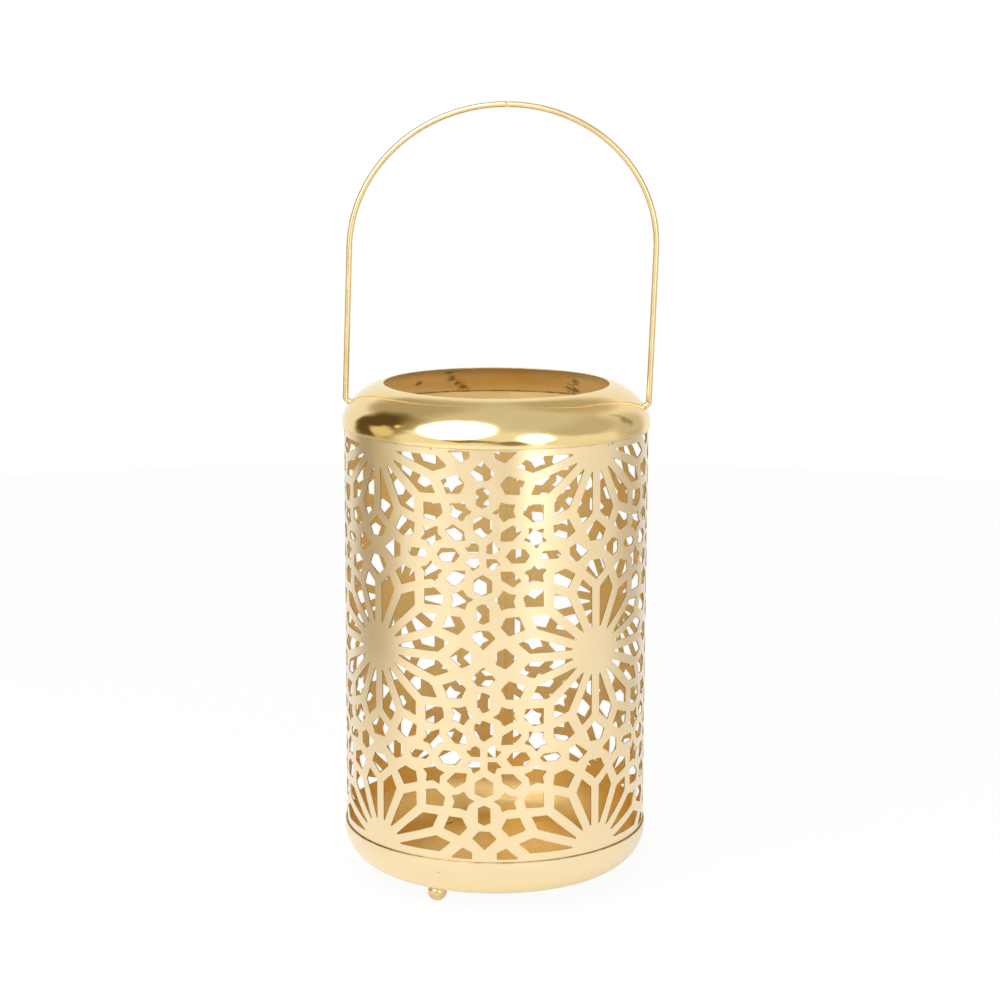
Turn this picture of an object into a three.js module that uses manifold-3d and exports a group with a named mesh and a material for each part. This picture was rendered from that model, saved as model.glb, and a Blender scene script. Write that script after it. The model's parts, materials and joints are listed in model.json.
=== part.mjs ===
// A hanging lantern for a candle: a pierced brass sleeve between a pressed cap and a pressed pan,
// standing on three ball feet, with a wire bail that swings in two holes of the cap.
// Millimetres, +Z up, z = 0 where the feet stand. The front is -Y and the bail turns about X.
import * as THREE from 'three';
import { mergeVertices } from 'three/addons/utils/BufferGeometryUtils.js';
import Module from 'manifold-3d';

const wasm = await Module();
wasm.setup();

// Sheet and fits
const sheet = 0.6;            // wall of the sleeve, the cap and the pan
const fitGap = 0.3;           // clearance between pieces that meet

// Sleeve
const sleeveRadius = 80;      // outside
const sleeveShows = 214;      // height between the pan's rim and the cap's lower edge
const tuckInPan = 2.5;
const tuckInCap = 6.2;
const seamMargins = 10;       // plain metal at the butt seam at the back, both sides together

// Pierced pattern
const columns = 4;            // rosettes around the sleeve
const rowPitches = 2;         // from the half rosettes at the pan to those at the cap
const firstRow = 2.8;         // middle of the lowest rosettes above the pan's rim
const lastRow = 1;            // middle of the highest rosettes below the cap's lower edge
const edgeBelow = 1.7;        // plain metal that shows above the pan's rim
const edgeAbove = 1.2;        // plain metal that shows below the cap's lower edge

// Cap
const capHeight = 22.3;
const capSkirt = 6.5;         // straight part at its lower edge
const mouthRadius = 59.2;
const capBulge = 5.5;         // how far the shoulder rises before it turns in
const capBrow = 9;            // how far the shoulder runs level at the mouth
const capFall = 0.5;          // how far the shoulder drops over that run

// Pan
const panDepth = 22;
const panSkirt = 2.5;
const panFloorRadius = 60;

// Feet
const footCount = 3;
const footDiameter = 10;
const footSeatRadius = 2.8;   // flat on top of the ball
const footCircle = 57.3;
const firstFootAngle = -27;   // degrees from the front, towards +X
const screwDiameter = 3;
const screwHeadDiameter = 6.4;
const screwHeadHeight = 1.5;
const screwHeadEdge = 0.6;    // straight edge under the head's dome
const screwReach = 5;         // into the ball

// Bail
const wireDiameter = 3;
const bailHalfSpan = 81.2;    // from the middle to the wire's legs
const pivotAboveCapEdge = 11;
const bailHeight = 155.5;     // pivot to the wire's highest point, on its middle line
const archHeight = 74;        // of the half ellipse on top of the legs
const bailLean = 5;           // the hand-bent wire leans this far to +X at its top
const bailHoleDiameter = 4;   // in the cap, loose round the wire
const bendRadius = 2.5;       // from the inward end into the leg
const inwardEnd = 7;          // straight wire inside the cap

// Fineness of the faceted surfaces
const turnSteps = 60;
const shoulderSteps = 7;
const cornerSteps = 6;
const ballSteps = 8;
const footSteps = 14;
const wireSides = 10;
const drillSides = 16;
const domeSteps = 2;
const bendSteps = 4;
const archSteps = 14;
const rimStepsPerCell = 6;
const bendWeight = 3;         // long facets run along the sleeve, not around it
const bow = 0.05;             // keeps corners off a shared line
const flipMargin = 1e-2;      // keeps corners on a shared circle from being turned for ever

// Heights and radii that follow
const footTop = footDiameter / 2 + Math.sqrt((footDiameter / 2) ** 2 - footSeatRadius ** 2);
const panBottom = footTop + fitGap;
const panRim = panBottom + panDepth;
const capEdge = panRim + sleeveShows;
const capTop = capEdge + capHeight;
const shellRadius = sleeveRadius + fitGap + sheet;
const pivotHeight = capEdge + pivotAboveCapEdge;

const satinGold = () => new THREE.MeshStandardMaterial({ color: 0xf3dfae, roughness: 0.38, metalness: 1 });
const mirrorBrass = () => new THREE.MeshStandardMaterial({ color: 0xe6cd8c, roughness: 0.12, metalness: 1 });
const brightBrass = () => new THREE.MeshStandardMaterial({ color: 0xe8c467, roughness: 0.16, metalness: 1 });

const lantern = new THREE.Group();

function add(name, geometry, material) {
  const mesh = new THREE.Mesh(geometry, material);
  mesh.name = name;
  lantern.add(mesh);
  return mesh;
}

// Profiles are lists of Vector2, radius and height above the feet.
function offsetProfile(points, distance) {
  return points.map((point, i) => {
    const before = points[Math.max(i - 1, 0)];
    const after = points[Math.min(i + 1, points.length - 1)];
    const intoWall = new THREE.Vector2(before.y - after.y, after.x - before.x).normalize();
    return point.clone().addScaledVector(intoWall, distance);
  });
}

function turned(profile, steps = turnSteps) {
  return new THREE.LatheGeometry(profile, steps).rotateX(Math.PI / 2);
}

function toSolid(geometry) {
  const bare = geometry.clone();
  bare.deleteAttribute('normal');
  bare.deleteAttribute('uv');
  const merged = mergeVertices(bare);
  const vertProperties = new Float32Array(merged.attributes.position.array);
  const triVerts = new Uint32Array(merged.index.array);
  return new wasm.Manifold(new wasm.Mesh({ numProp: 3, vertProperties, triVerts }));
}

function toGeometry(solid) {
  const { vertProperties, triVerts } = solid.getMesh();
  const geometry = new THREE.BufferGeometry();
  geometry.setAttribute('position', new THREE.BufferAttribute(vertProperties, 3));
  geometry.setIndex(new THREE.BufferAttribute(triVerts, 1));
  geometry.computeVertexNormals();
  return geometry;
}

// Cap: a straight skirt over the sleeve, a full shoulder and a cut edge round the mouth.
function capGeometry() {
  const shoulder = new THREE.CubicBezierCurve(
    new THREE.Vector2(shellRadius, capEdge + capSkirt),
    new THREE.Vector2(shellRadius, capEdge + capSkirt + capBulge),
    new THREE.Vector2(mouthRadius + capBrow, capTop - capFall),
    new THREE.Vector2(mouthRadius, capTop),
  );
  const outside = [new THREE.Vector2(shellRadius, capEdge), ...shoulder.getPoints(shoulderSteps)];
  const inside = offsetProfile(outside, sheet).reverse();
  const shell = toSolid(turned([...outside, ...inside, outside[0]]));

  const drill = new THREE.CylinderGeometry(
    bailHoleDiameter / 2,
    bailHoleDiameter / 2,
    4 * shellRadius,
    drillSides,
  );
  drill.rotateZ(Math.PI / 2).translate(0, 0, pivotHeight);
  return toGeometry(shell.subtract(toSolid(drill)));
}

// Pan: a short rim round the sleeve, a round corner and a flat floor, drilled for the foot screws.
function panGeometry() {
  const cornerDepth = panDepth - panSkirt;
  const outside = [new THREE.Vector2(0, panBottom)];
  for (let i = cornerSteps; i >= 0; i -= 1) {
    const turn = (i / cornerSteps) * Math.PI / 2;
    outside.push(new THREE.Vector2(
      panFloorRadius + (shellRadius - panFloorRadius) * Math.cos(turn),
      panBottom + cornerDepth * (1 - Math.sin(turn)),
    ));
  }
  outside.push(new THREE.Vector2(shellRadius, panRim));
  const inside = offsetProfile(outside, sheet).reverse();
  inside[inside.length - 1].x = 0;
  let shell = toSolid(turned([...outside, ...inside]));

  const holeRadius = screwDiameter / 2 + fitGap;
  for (const place of footPlaces()) {
    const drill = new THREE.CylinderGeometry(holeRadius, holeRadius, 4 * footDiameter, drillSides);
    drill.rotateX(Math.PI / 2).translate(place.x, place.y, panBottom);
    shell = shell.subtract(toSolid(drill));
  }
  return toGeometry(shell);
}

function footPlaces() {
  const places = [];
  for (let i = 0; i < footCount; i += 1) {
    const angle = THREE.MathUtils.degToRad(firstFootAngle + (360 / footCount) * i);
    places.push(new THREE.Vector2(footCircle * Math.sin(angle), -footCircle * Math.cos(angle)));
  }
  return places;
}

// Ball foot: a ball with a flat on top and a blind hole for its screw.
function footGeometry() {
  const radius = footDiameter / 2;
  const holeRadius = screwDiameter / 2 + fitGap;
  const flatTurn = Math.asin((footTop - radius) / radius);
  const profile = [];
  for (let i = 0; i <= ballSteps; i += 1) {
    const turn = THREE.MathUtils.lerp(-Math.PI / 2, flatTurn, i / ballSteps);
    profile.push(new THREE.Vector2(i === 0 ? 0 : radius * Math.cos(turn), radius + radius * Math.sin(turn)));
  }
  const holeBottom = footTop - screwReach - fitGap;
  profile.push(
    new THREE.Vector2(holeRadius, footTop),
    new THREE.Vector2(holeRadius, holeBottom),
    new THREE.Vector2(0, holeBottom),
  );
  return turned(profile, footSteps);
}

// Foot screw: a domed head on the pan's floor and a shank down into the ball.
function screwGeometry() {
  const shank = screwDiameter / 2;
  const head = screwHeadDiameter / 2;
  const seat = panBottom + sheet + fitGap;
  const profile = [
    new THREE.Vector2(0, footTop - screwReach),
    new THREE.Vector2(shank, footTop - screwReach),
    new THREE.Vector2(shank, seat),
    new THREE.Vector2(head, seat),
  ];
  for (let i = 0; i <= domeSteps; i += 1) {
    const turn = (i / domeSteps) * Math.PI / 2;
    const rise = (screwHeadHeight - screwHeadEdge) * Math.sin(turn);
    profile.push(new THREE.Vector2(i < domeSteps ? head * Math.cos(turn) : 0, seat + screwHeadEdge + rise));
  }
  return turned(profile, footSteps);
}

// Pierced pattern. A rosette of sixteen petals stands in the middle of each repeat and the other
// openings fill the corners. Outlines are drawn for one quarter of the repeat, in millimetres from
// the rosette's middle, on a drawing cell of this size, which is then fitted to the sleeve.
const drawnCell = { width: 61.6, height: 52.5 };
const drawnPetal = {
  count: 16,
  tip: 11.7,                  // distance of the sharp inner end
  shoulder: 33.2,             // distance of the widest place
  end: 38.9,
  halfAngle: 7.35,            // at the shoulder, in degrees
  stretch: 1.15,              // rosettes are this much wider than high
};

function petalOutline(index) {
  const axis = (index + 0.5) * (360 / drawnPetal.count);
  const place = (distance, degrees) => {
    const angle = THREE.MathUtils.degToRad(degrees);
    return [drawnPetal.stretch * distance * Math.cos(angle), distance * Math.sin(angle)];
  };
  return [
    place(drawnPetal.tip, axis),
    place(drawnPetal.shoulder, axis - drawnPetal.halfAngle),
    place(drawnPetal.end, axis),
    place(drawnPetal.shoulder, axis + drawnPetal.halfAngle),
  ];
}

const { width: W, height: H } = drawnCell;

// Openings that lie wholly inside the quarter
const insideQuarter = [
  ...Array.from({ length: drawnPetal.count / 4 }, (_, i) => petalOutline(i)),
  // Five-sided cells round the rosette
  [[18.3, 45], [13.1, 41.5], [17.2, 34.7], [25.6, 37.6], [24.9, 42.9]],
  [[36.4, 35.5], [30.8, 34.6], [30.7, 26.3], [40.1, 26.4], [41.4, 31.3]],
  [[50.2, 21.1], [43.3, 21.5], [40.3, 14.7], [48.7, 11.5], [52.8, 16]],
  // Kite between the stars
  [[52.9, 44.9], [46.8, 44.8], [42.1, 40], [46.4, 36.6], [52.2, 40.2]],
  // Five-pointed stars
  [
    [34.5, 49.2], [32.5, 46.2], [28.8, 45.4], [31.3, 42.6], [30.5, 38.6],
    [34.6, 39.6], [38.4, 37.9], [38.6, 42.1], [41.2, 44.4], [37, 46],
  ],
  [
    [51.3, 35.2], [48.2, 33.4], [44.8, 32.8], [46.3, 29.5], [44.9, 26.1],
    [49.3, 26], [52.5, 24.9], [53.7, 28.3], [57.1, 30.4], [53.6, 31.9],
  ],
];

// Openings across the upright line through the rosette
const acrossUpright = [
  [[0, 37.1], [6.7, 42.4], [4, 47.5], [-4, 47.5], [-6.7, 42.4]],
];

// Openings across the level line through the rosette
const acrossLevel = [
  [[44.2, 0], [50.4, -5.5], [55.3, -3], [55.3, 3], [50.4, 5.5]],
];

// Openings across the upright line midway between two rosettes
const acrossMidUpright = [
  [[W, 32.2], [W + 4.7, 34.2], [W + 4.7, 40.2], [W, 43.2], [W - 4.7, 40.2], [W - 4.7, 34.2]],
  [[W, 17.5], [W + 3.2, 19], [W + 3.2, 26.7], [W, 28.3], [W - 3.2, 26.7], [W - 3.2, 19]],
  [[W, 4.4], [W + 6.3, 10.6], [W + 2.8, 14.4], [W - 2.8, 14.4], [W - 6.3, 10.6]],
];

// Openings across the level line midway between two rosettes
const acrossMidLevel = [
  [[5, H], [12, H - 4.9], [16.4, H - 2.9], [16.4, H + 2.9], [12, H + 4.9]],
  [[21.2, H], [23.2, H - 2.2], [30.8, H - 2.2], [32.8, H], [30.8, H + 2.2], [23.2, H + 2.2]],
  [[37.8, H], [40.3, H - 3.6], [47.2, H - 3.6], [50.1, H], [47.2, H + 3.6], [40.3, H + 3.6]],
];

// Keeps the part of a convex outline that lies on one side of a level or an upright line.
function clipOutline(outline, axis, limit, side) {
  const kept = [];
  outline.forEach((point, i) => {
    const next = outline[(i + 1) % outline.length];
    const here = side * (point[axis] - limit);
    const there = side * (next[axis] - limit);
    if (here <= 0) kept.push(point);
    if (here * there < 0) {
      const share = here / (here - there);
      kept.push(point.map((value, k) => value + share * (next[k] - value)));
    }
  });
  return kept;
}

// All openings of the flat sheet: x runs round the sleeve from the front, z is the height.
function patternOpenings() {
  const cellWidth = (2 * Math.PI * sleeveRadius - seamMargins) / (2 * columns);
  const rowPitch = (sleeveShows - firstRow - lastRow) / rowPitches;
  const scale = [cellWidth / W, rowPitch / 2 / H];
  const halfWidth = columns * cellWidth;
  const openings = [];
  const put = (outline, column, row, flipX, flipZ) => {
    const middle = [(2 * column + 1) * cellWidth - halfWidth, panRim + firstRow + row * rowPitch];
    const flip = [flipX, flipZ];
    let placed = outline.map((point) => point.map((value, k) => middle[k] + flip[k] * scale[k] * value));
    placed = clipOutline(placed, 0, halfWidth, 1);
    placed = clipOutline(placed, 0, -halfWidth, -1);
    placed = clipOutline(placed, 1, capEdge - edgeAbove, 1);
    placed = clipOutline(placed, 1, panRim + edgeBelow, -1);
    if (placed.length > 2) openings.push(placed);
  };
  for (let column = -1; column < columns; column += 1) {
    for (let row = -1; row <= rowPitches; row += 1) {
      for (const side of [-1, 1]) {
        insideQuarter.forEach((outline) => {
          put(outline, column, row, side, -1);
          put(outline, column, row, side, 1);
        });
        acrossUpright.forEach((outline) => put(outline, column, row, 1, side));
        acrossLevel.forEach((outline) => put(outline, column, row, side, 1));
        acrossMidUpright.forEach((outline) => put(outline, column, row, 1, side));
        acrossMidLevel.forEach((outline) => put(outline, column, row, side, 1));
      }
    }
  }
  const hubs = [];
  for (let column = 0; column < columns; column += 1) {
    for (let row = 0; row <= rowPitches; row += 1) {
      hubs.push([(2 * column + 1) * cellWidth - halfWidth, panRim + firstRow + row * rowPitch]);
    }
  }
  return { openings, hubs };
}

// Turns the diagonals of a triangulation until each triangle is as compact as it can be.
function compactTriangles(points, triangles) {
  const insideCircle = (a, b, c, d) => {
    const [ax, az, bx, bz, cx, cz] = [a, b, c].flatMap((p) => [p.x - d.x, p.y - d.y]);
    return (ax * ax + az * az) * (bx * cz - cx * bz)
      - (bx * bx + bz * bz) * (ax * cz - cx * az)
      + (cx * cx + cz * cz) * (ax * bz - bx * az) > flipMargin;
  };
  let turnedSome = true;
  while (turnedSome) {
    turnedSome = false;
    const owner = new Map();
    triangles.forEach((t, i) => t.forEach((a, k) => owner.set(`${a},${t[(k + 1) % 3]}`, i)));
    const changed = new Set();
    for (let i = 0; i < triangles.length; i += 1) {
      for (let k = 0; k < 3 && !changed.has(i); k += 1) {
        const [a, b, c] = [0, 1, 2].map((step) => triangles[i][(k + step) % 3]);
        const j = owner.get(`${b},${a}`);
        if (j === undefined || changed.has(j)) continue;
        const d = triangles[j].find((v) => v !== a && v !== b);
        if (insideCircle(points[a], points[b], points[c], points[d])) {
          triangles[i] = [a, d, c];
          triangles[j] = [d, b, c];
          changed.add(i).add(j);
          turnedSome = true;
        }
      }
    }
  }
  return triangles;
}

// Sleeve: one flat pierced sheet, rolled until its ends meet at the back.
function sleeveGeometry() {
  const reach = Math.PI * sleeveRadius - fitGap / 2;
  const bottom = panRim - tuckInPan;
  const top = capEdge + tuckInCap;
  const rimSteps = 2 * columns * rimStepsPerCell;
  const border = [];
  for (let i = 0; i <= rimSteps; i += 1) border.push([reach * (2 * i / rimSteps - 1), bottom]);
  for (let i = rimSteps; i >= 0; i -= 1) border.push([reach * (2 * i / rimSteps - 1), top]);

  // The sheet is triangulated flat, bowed by a hair so that no three corners share a line.
  const { openings, hubs } = patternOpenings();
  const rings = [border, ...openings, ...hubs.map((hub) => [hub])];
  const flatRings = rings.map((ring) => ring.map(([x, z]) => (
    new THREE.Vector2(bendWeight * x + bow * (z / reach) ** 2, z + bow * (x / reach) ** 2)
  )));
  const points = flatRings.flat();
  const facesOut = ([a, b, c]) => (points[b].x - points[a].x) * (points[c].y - points[a].y)
    > (points[c].x - points[a].x) * (points[b].y - points[a].y);
  const triangles = compactTriangles(
    points,
    THREE.ShapeUtils.triangulateShape(flatRings[0], flatRings.slice(1))
      .map((triangle) => (facesOut(triangle) ? triangle : triangle.reverse())),
  );

  const position = [];
  for (const radius of [sleeveRadius, sleeveRadius - sheet]) {
    for (const [x, z] of rings.flat()) {
      position.push(radius * Math.sin(x / sleeveRadius), -radius * Math.cos(x / sleeveRadius), z);
    }
  }
  const count = points.length;
  const edges = new Set(triangles.flatMap((t) => t.map((a, k) => `${a},${t[(k + 1) % 3]}`)));
  const index = [];
  for (const [a, b, c] of triangles) {
    index.push(a, b, c, a + count, c + count, b + count);
    for (const [from, to] of [[a, b], [b, c], [c, a]]) {
      if (!edges.has(`${to},${from}`)) {
        index.push(from, from + count, to + count, from, to + count, to);
      }
    }
  }
  const geometry = new THREE.BufferGeometry();
  geometry.setAttribute('position', new THREE.Float32BufferAttribute(position, 3));
  geometry.setIndex(index);
  geometry.computeVertexNormals();
  return geometry;
}

// Bail: two wires, each from inside the cap through its hole, up and over to the butt joint.
function bailPath(side) {
  const straightTop = pivotHeight + bailHeight - archHeight;
  const bendMiddle = { x: bailHalfSpan - bendRadius, z: pivotHeight + bendRadius };
  const path = [[bendMiddle.x - inwardEnd, pivotHeight]];
  for (let i = 0; i <= bendSteps; i += 1) {
    const turn = (i / bendSteps) * Math.PI / 2;
    path.push([bendMiddle.x + bendRadius * Math.sin(turn), bendMiddle.z - bendRadius * Math.cos(turn)]);
  }
  const lastTurn = Math.PI / 2 - fitGap / 2 / bailHalfSpan;
  for (let i = 0; i <= archSteps; i += 1) {
    const turn = (i / archSteps) * lastTurn;
    path.push([bailHalfSpan * Math.cos(turn), straightTop + archHeight * Math.sin(turn)]);
  }
  return path.map(([x, z]) => {
    const lean = bailLean * Math.max(z - bendMiddle.z, 0) / (bailHeight - bendRadius);
    return new THREE.Vector2(side * x + lean, z);
  });
}

// A round rod whose middle line lies in the plane y = 0.
function rodAlong(path, radius, sides) {
  const position = [];
  path.forEach((point, i) => {
    const before = path[Math.max(i - 1, 0)];
    const after = path[Math.min(i + 1, path.length - 1)];
    const along = after.clone().sub(before).normalize();
    for (let k = 0; k < sides; k += 1) {
      const angle = (2 * Math.PI * k) / sides;
      const across = radius * Math.cos(angle);
      position.push(point.x - across * along.y, radius * Math.sin(angle), point.y + across * along.x);
    }
  });
  const index = [];
  for (let i = 0; i + 1 < path.length; i += 1) {
    for (let k = 0; k < sides; k += 1) {
      const [a, b] = [i * sides + k, i * sides + ((k + 1) % sides)];
      index.push(a, a + sides, b + sides, a, b + sides, b);
    }
  }
  const last = (path.length - 1) * sides;
  for (let k = 1; k + 1 < sides; k += 1) {
    index.push(0, k, k + 1, last, last + k + 1, last + k);
  }
  const geometry = new THREE.BufferGeometry();
  geometry.setAttribute('position', new THREE.Float32BufferAttribute(position, 3));
  geometry.setIndex(index);
  geometry.computeVertexNormals();
  return geometry;
}

add('top_cap', capGeometry(), mirrorBrass());
add('pierced_sleeve', sleeveGeometry(), satinGold());
add('base_pan', panGeometry(), satinGold());
footPlaces().forEach((place, i) => {
  add(`ball_foot_${i + 1}`, footGeometry(), brightBrass()).position.set(place.x, place.y, 0);
  add(`foot_screw_${i + 1}`, screwGeometry(), brightBrass()).position.set(place.x, place.y, 0);
});
add('bail_left', rodAlong(bailPath(-1), wireDiameter / 2, wireSides), brightBrass());
add('bail_right', rodAlong(bailPath(1), wireDiameter / 2, wireSides), brightBrass());

export default lantern;
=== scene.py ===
import json
import math

import bmesh
import bpy
from bpy.props import FloatProperty, FloatVectorProperty, IntProperty, PointerProperty
import numpy as np
from mathutils import Matrix, Vector


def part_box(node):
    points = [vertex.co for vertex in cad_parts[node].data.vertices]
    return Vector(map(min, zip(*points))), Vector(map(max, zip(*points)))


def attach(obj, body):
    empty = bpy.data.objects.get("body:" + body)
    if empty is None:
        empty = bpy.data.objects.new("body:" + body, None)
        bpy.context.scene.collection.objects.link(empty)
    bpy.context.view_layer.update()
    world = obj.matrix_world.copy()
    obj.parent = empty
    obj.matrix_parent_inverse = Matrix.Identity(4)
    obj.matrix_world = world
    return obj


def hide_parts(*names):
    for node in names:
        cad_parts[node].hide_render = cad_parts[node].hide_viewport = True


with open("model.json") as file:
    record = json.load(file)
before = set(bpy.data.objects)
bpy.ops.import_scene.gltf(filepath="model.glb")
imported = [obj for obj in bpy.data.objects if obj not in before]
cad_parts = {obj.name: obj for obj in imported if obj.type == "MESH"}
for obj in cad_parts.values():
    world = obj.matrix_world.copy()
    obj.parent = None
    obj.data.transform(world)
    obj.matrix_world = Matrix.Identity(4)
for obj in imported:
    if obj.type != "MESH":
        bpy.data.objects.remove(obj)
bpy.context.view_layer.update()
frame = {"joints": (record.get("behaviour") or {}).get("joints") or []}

bl_info = {
    "name": "Pierced brass lantern",
    "version": (1, 0, 0),
    "blender": (4, 5, 0),
    "location": "3D View > Sidebar > Lantern",
    "description": "Builds a pierced brass candle lantern round its solids",
    "category": "Object",
}

MM = 0.001

# Heights and radii that the solids give
CAP_LOW, CAP_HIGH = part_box("top_cap")
PAN_LOW, PAN_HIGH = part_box("base_pan")
SLEEVE_LOW, SLEEVE_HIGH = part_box("pierced_sleeve")
CAP_EDGE = CAP_LOW.z
CAP_TOP = CAP_HIGH.z
PAN_BOTTOM = PAN_LOW.z
PAN_RIM = PAN_HIGH.z
SHELL_RADIUS = CAP_HIGH.x
SLEEVE_RADIUS = SLEEVE_HIGH.x
SLEEVE_SHOWS = CAP_EDGE - PAN_RIM
SWING = frame["joints"][0]
PIVOT = Vector(SWING["pos_m"])
FOOT_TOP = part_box("ball_foot_1")[1].z
FEET = ["ball_foot_1", "ball_foot_2", "ball_foot_3"]
SCREWS = ["foot_screw_1", "foot_screw_2", "foot_screw_3"]


def middle(node):
    low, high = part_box(node)
    return (low + high) / 2


# Fine measures of the making
SHEET_EDGE = 0.2 * MM
TURNED_EDGE = 0.12 * MM
MOUTH_MARGIN = 0.05 * MM
DRILL_REACH = 4 * MM
SHANK_PLAY = 0.3 * MM
BORE_DEPTH = 5.3 * MM
HEAD_GAP = 0.3 * MM
HEAD_RIM = 0.6 * MM
SHANK_BEVEL = 0.4 * MM
SLOT_WIDTH = 0.9 * MM
SLOT_CUT = 1.3 * MM
BUTT_GAP = 0.15 * MM
WIRE_END = 0.35 * MM

# Steps that the curves are divided into
SHELL_STEPS = 256
BALL_STEPS = 64
SCREW_STEPS = 48
TABLE_STEPS = 96
SHOULDER_STEPS = 28
CORNER_STEPS = 24
BEND_STEPS = 12
ARCH_STEPS = 72
WIRE_END_STEPS = (0, 0.15, 0.35, 1)

QUARTER_TURN = math.pi / 2
SMOOTH_COSINE = 0.85
WALL_COSINE = 0.9
TINY = 1e-9


def length(name, description, millimetres):
    return FloatProperty(
        name=name, description=description, default=millimetres * MM, unit="LENGTH")


def tone(name, description, colour):
    return FloatVectorProperty(
        name=name, description=description, default=colour, size=3, subtype="COLOR")


class LanternSizes(bpy.types.PropertyGroup):
    sheet: length("Sheet", "Thickness of the brass sheet", 0.6)
    corner: length("Corner radius", "Rounding of the corners of the openings", 0.45)
    columns: IntProperty(name="Columns", description="Rosettes round the sleeve", default=4)
    row_pitches: IntProperty(
        name="Row pitches", description="Repeats between the lowest and the highest rosettes",
        default=2)
    seam_margins: length(
        "Seam margins", "Plain sheet beside the seam at the back, both sides together", 10)
    seam_gap: length("Seam gap", "Gap between the sheet's two edges at the back", 0.3)
    first_row: length("First row", "Middle of the lowest rosettes above the pan's rim", 2.2)
    last_row: length("Last row", "Middle of the highest rosettes below the cap's edge", 1.5)
    edge_below: length("Lower edge", "Plain sheet that shows above the pan's rim", 1.7)
    edge_above: length("Upper edge", "Plain sheet that shows below the cap's edge", 1.2)
    lean: FloatProperty(
        name="Pattern lean", description="Sideways run of the openings to their height",
        default=0.0085)
    facets: IntProperty(
        name="Facets", description="Flat strips that the rolled sheet is made of", default=288)
    cap_skirt: length("Cap skirt", "Straight part at the cap's lower edge", 3.2)
    cap_bulge: length("Cap bulge", "How far the shoulder rises before it turns in", 8.5)
    cap_brow: length("Cap brow", "How far the shoulder runs level at the mouth", 8.8)
    cap_fall: length("Cap fall", "How far the shoulder drops over its level run", 0.5)
    mouth_radius: length("Mouth radius", "Radius of the opening in the cap", 59.2)
    pan_skirt: length("Pan skirt", "Straight part at the pan's rim", 2.5)
    pan_floor: length("Pan floor", "Radius of the pan's flat floor", 61.5)
    foot: length("Foot", "Diameter of a ball foot", 10)
    screw: length("Screw", "Diameter of a foot screw's shank", 3)
    wire: length("Wire", "Diameter of the bail's wire", 3)
    half_span: length("Half span", "From the middle to a leg of the bail", 80.0)
    bail_height: length(
        "Bail height", "Pivot to the wire's highest point on its middle line", 155.5)
    arch: length("Arch height", "Height of the half ellipse on top of the legs", 74)
    bail_lean: length("Bail lean", "How far the bent wire leans sideways at its top", 5)
    bend: length("Bend radius", "Bend from the inward end into the leg", 2.5)
    inward_end: length("Inward end", "Straight wire inside the cap", 7)
    wire_hole: length("Wire hole", "Diameter of the bail's holes in the cap", 4)


class LanternColours(bpy.types.PropertyGroup):
    satin: tone("Satin gold", "Outside of the sleeve and the pan", (0.86, 0.68, 0.38))
    mirror: tone("Mirror brass", "Outside of the cap", (0.88, 0.68, 0.33))
    inside: tone("Inside", "Brushed inside of the sheet", (0.86, 0.64, 0.28))
    wire: tone("Bright brass", "Bail, ball feet and screws", (0.80, 0.61, 0.32))
    # Used for the real flux stains and specks, and also for the painted shade of the dark joint
    # lines
    stain_and_shade: tone("Flux stain", "Burnt flux beside the solder", (0.10, 0.06, 0.02))


def sizes():
    return bpy.context.scene.lantern_sizes


def colours():
    return bpy.context.scene.lantern_colours


# Burnt spots inside the cap, left by soldering: place and reach in millimetres
STAINS = [
    (-31.0, 60.7, 264.3, 7.0),
    (-30.5, 67.2, 260.7, 6.0),
    (-28.2, 72.2, 257.2, 7.0),
    (-25.1, 75.0, 255.2, 7.0),
    (-48.5, 58.5, 258.8, 5.0),
    (38.4, 64.1, 259.9, 7.0),
    (37.1, 69.9, 255.2, 9.0),
]

# Small dark specks beside the joint of the cap and on the pan, in the same way
SPECKS = [
    (-26.7, -75.4, 244.6, 0.9),
    (62.9, -49.5, 244.6, 1.2),
    (61.2, -51.6, 244.2, 0.8),
    (-22.6, -77.0, 24.5, 0.7),
]


# Helpers for meshes

def new_object(name, data):
    obj = bpy.data.objects.new(name, data)
    bpy.context.scene.collection.objects.link(obj)
    return obj


def mesh_from(name, verts, faces):
    mesh = bpy.data.meshes.new(name)
    mesh.from_pydata([tuple(v) for v in verts], [], faces)
    mesh.update()
    return mesh


def turned_mesh(name, profile, steps):
    """A closed outline of (radius, height) points, turned about Z. A radius of 0 is a pole."""
    verts, rings = [], []
    for radius, height in profile:
        if radius == 0:
            verts.append((0, 0, height))
            rings.append([len(verts) - 1] * steps)
            continue
        rings.append([len(verts) + k for k in range(steps)])
        for k in range(steps):
            angle = 2 * math.pi * k / steps
            verts.append((radius * math.cos(angle), radius * math.sin(angle), height))
    faces = []
    for i, ring in enumerate(rings):
        after = rings[(i + 1) % len(rings)]
        for k in range(steps):
            n = (k + 1) % steps
            corners = [ring[k], ring[n], after[n], after[k]]
            face = [v for j, v in enumerate(corners) if v != corners[j - 1]]
            if len(face) > 2:
                faces.append(face)
    mesh = mesh_from(name, verts, faces)
    bm = bmesh.new()
    bm.from_mesh(mesh)
    bmesh.ops.recalc_face_normals(bm, faces=bm.faces)
    return write_back(bm, mesh)


def write_back(bm, mesh):
    bm.to_mesh(mesh)
    bm.free()
    return mesh


def quarter(steps):
    """Angles from 0 to a quarter turn."""
    return [i / steps * QUARTER_TURN for i in range(steps + 1)]


def offset_profile(points, distance):
    """The same curve moved to its left by a distance."""
    moved = []
    for i, (r, z) in enumerate(points):
        before = Vector(points[max(i - 1, 0)])
        after = Vector(points[min(i + 1, len(points) - 1)])
        along = (after - before).normalized()
        moved.append((r - distance * along.y, z + distance * along.x))
    return moved


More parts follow.
